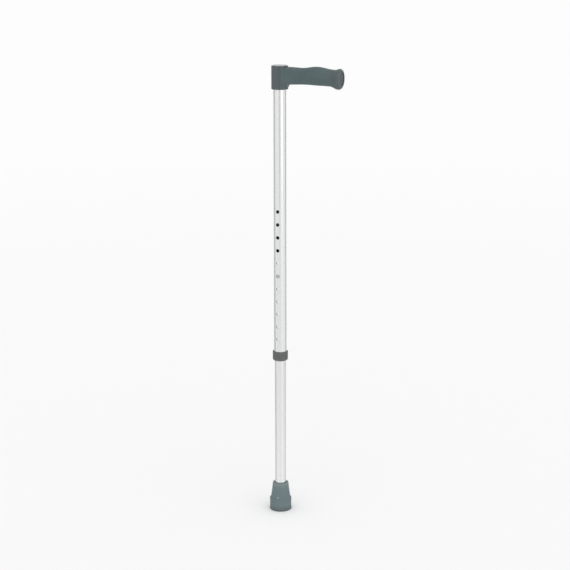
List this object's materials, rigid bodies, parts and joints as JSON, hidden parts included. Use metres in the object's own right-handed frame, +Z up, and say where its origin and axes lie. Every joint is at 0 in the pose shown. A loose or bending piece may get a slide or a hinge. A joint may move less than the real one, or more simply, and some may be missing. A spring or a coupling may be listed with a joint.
{
  "type": "walking stick",
  "caption": "Height-adjustable tubular walking stick: telescoping shaft with a row of lock holes, a sprung lock button, an offset contoured handle and a rubber ferrule.",
  "frame": {"origin": "centre of the ferrule's tread, on the floor", "axes": "+Z up along the shaft, +X along the grip from the shaft to its flared end, -Y the way the height holes and the lock button face"},
  "size_m": [0.1463, 0.0432, 0.8891],
  "materials": {
    "upper_aluminium": "satin anodised",
    "lower_aluminium": "satin anodised",
    "button_steel": "plated",
    "spring_steel": "plain spring steel",
    "white_nylon": "moulded",
    "collar_plastic": "satin moulded",
    "handle_plastic": "satin moulded",
    "grip_plastic": "fine matt texture",
    "cap_plastic": "satin moulded",
    "rivet_aluminium": "plain",
    "plug_plastic": "satin moulded",
    "ferrule_rubber": "moulded rubber",
    "washer_steel": "zinc plated"
  },
  "bodies": {
    "lower": {"inner_tube": "lower_aluminium", "ferrule": "ferrule_rubber", "ferrule_washer": "washer_steel", "tube_glide": "white_nylon", "button_spring": "spring_steel"},
    "upper": {"outer_tube": "upper_aluminium", "collar": "collar_plastic", "handle_core": "handle_plastic", "grip_cover": "grip_plastic", "grip_end_cap": "cap_plastic", "handle_rivets": "rivet_aluminium", "top_plug": "plug_plastic"},
    "button": {"snap_button": "button_steel"}
  },
  "joints": [
    {"name": "height_slide", "type": "slide", "parent": "lower", "child": "upper", "axis": [0, 0, 1], "range_m": [-0.127, 0.127], "deforming": ["button_spring", "snap_button"]},
    {"name": "button_press", "type": "slide", "parent": "lower", "child": "button", "axis": [0, 1, 0], "range_m": [0, 0.0038], "stiffness_N_per_m": 2500, "deforming": ["button_spring"]}
  ]
}
